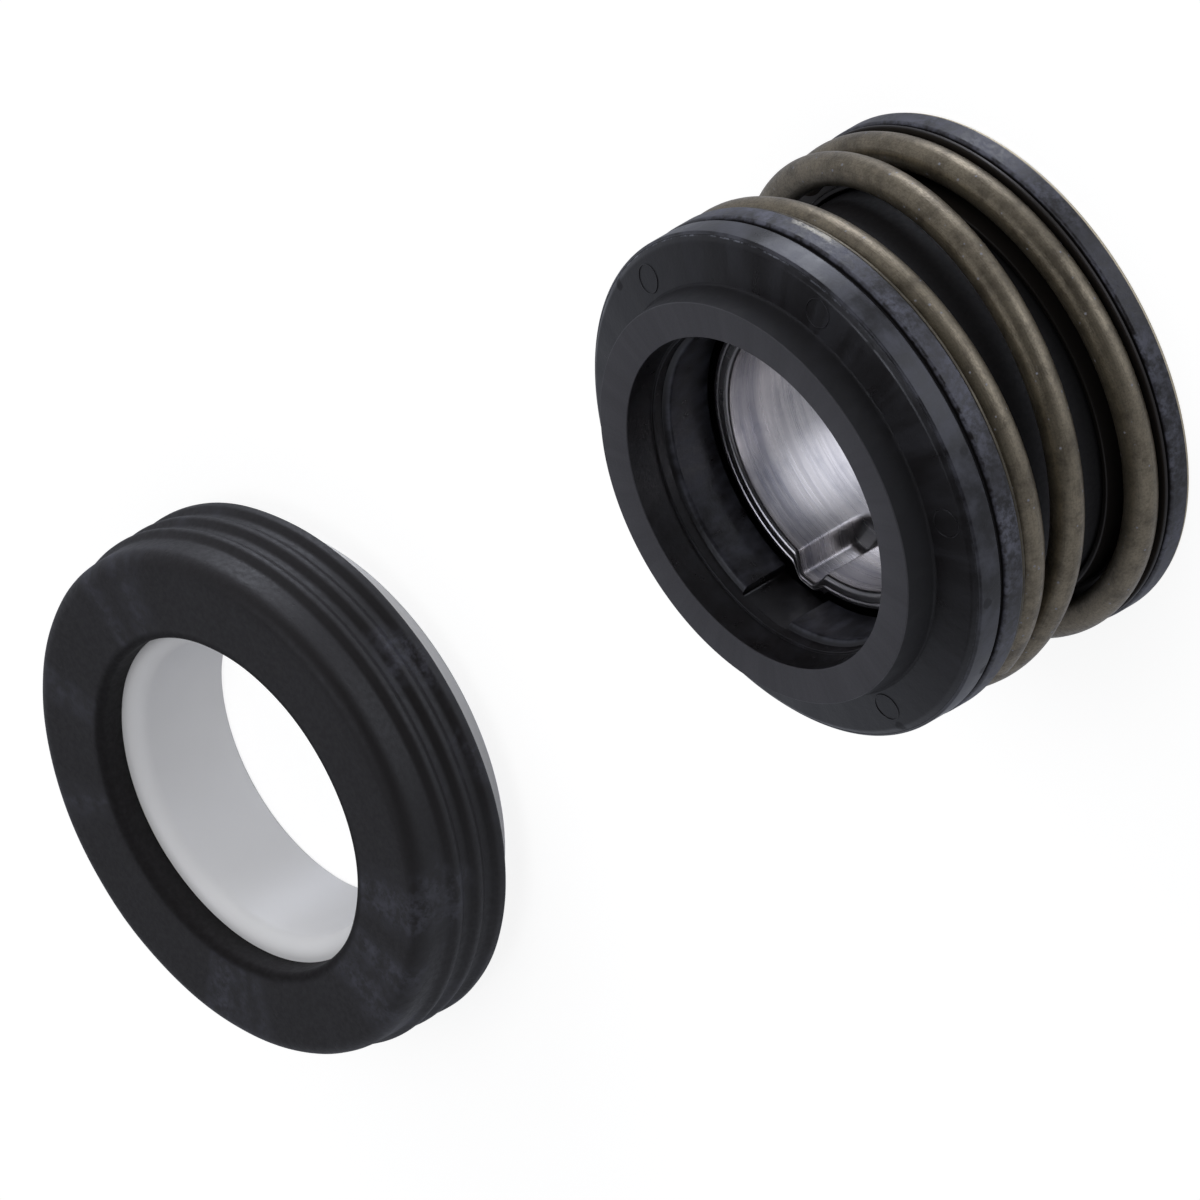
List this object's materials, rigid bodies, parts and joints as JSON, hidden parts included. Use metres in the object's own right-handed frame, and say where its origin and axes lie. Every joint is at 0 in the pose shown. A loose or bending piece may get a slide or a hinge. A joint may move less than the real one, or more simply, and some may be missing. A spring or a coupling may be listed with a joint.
{
  "type": "component mechanical seal",
  "caption": "Rotary seal head with a rubber bellows, one coil spring and a carbon face, beside its white ceramic seat in a ribbed rubber cup.",
  "frame": {"origin": "centre of the shaft bore at the rear face of the head's drive sleeve", "axes": "+Z along the shaft bore, towards the sealing nose; -X towards the stationary seat, which lies beside the head on its lapped face"},
  "size_m": [0.1272, 0.038, 0.0222],
  "materials": {
    "carbon": "moulded carbon in resin, dark grey, with lapped nose",
    "rubber": "black nitrile rubber with a grey talc bloom",
    "spring_steel": "dull drawn stainless wire with an olive-bronze cast",
    "stainless_sheet": "drawn stainless sheet, bright",
    "ceramic": "white sintered alumina, smooth and slightly shiny"
  },
  "bodies": {
    "seat": {"ceramic_seat": "ceramic", "seat_cup": "rubber"},
    "drive_unit": {"drive_sleeve": "stainless_sheet", "rear_spring_seat": "stainless_sheet", "bellows": "rubber", "spring": "spring_steel"},
    "face_carrier": {"seal_washer": "carbon", "front_spring_seat": "stainless_sheet"}
  },
  "joints": [
    {"name": "head_spin", "type": "hinge", "parent": "seat", "child": "drive_unit", "pos_m": [0, 0, 0], "axis": [0, 0, 1], "continuous": true},
    {"name": "face_slide", "type": "slide", "parent": "drive_unit", "child": "face_carrier", "axis": [0, 0, -1], "range_m": [0, 0.0035], "stiffness_N_per_m": 7500, "deforming": ["spring", "bellows"]}
  ]
}
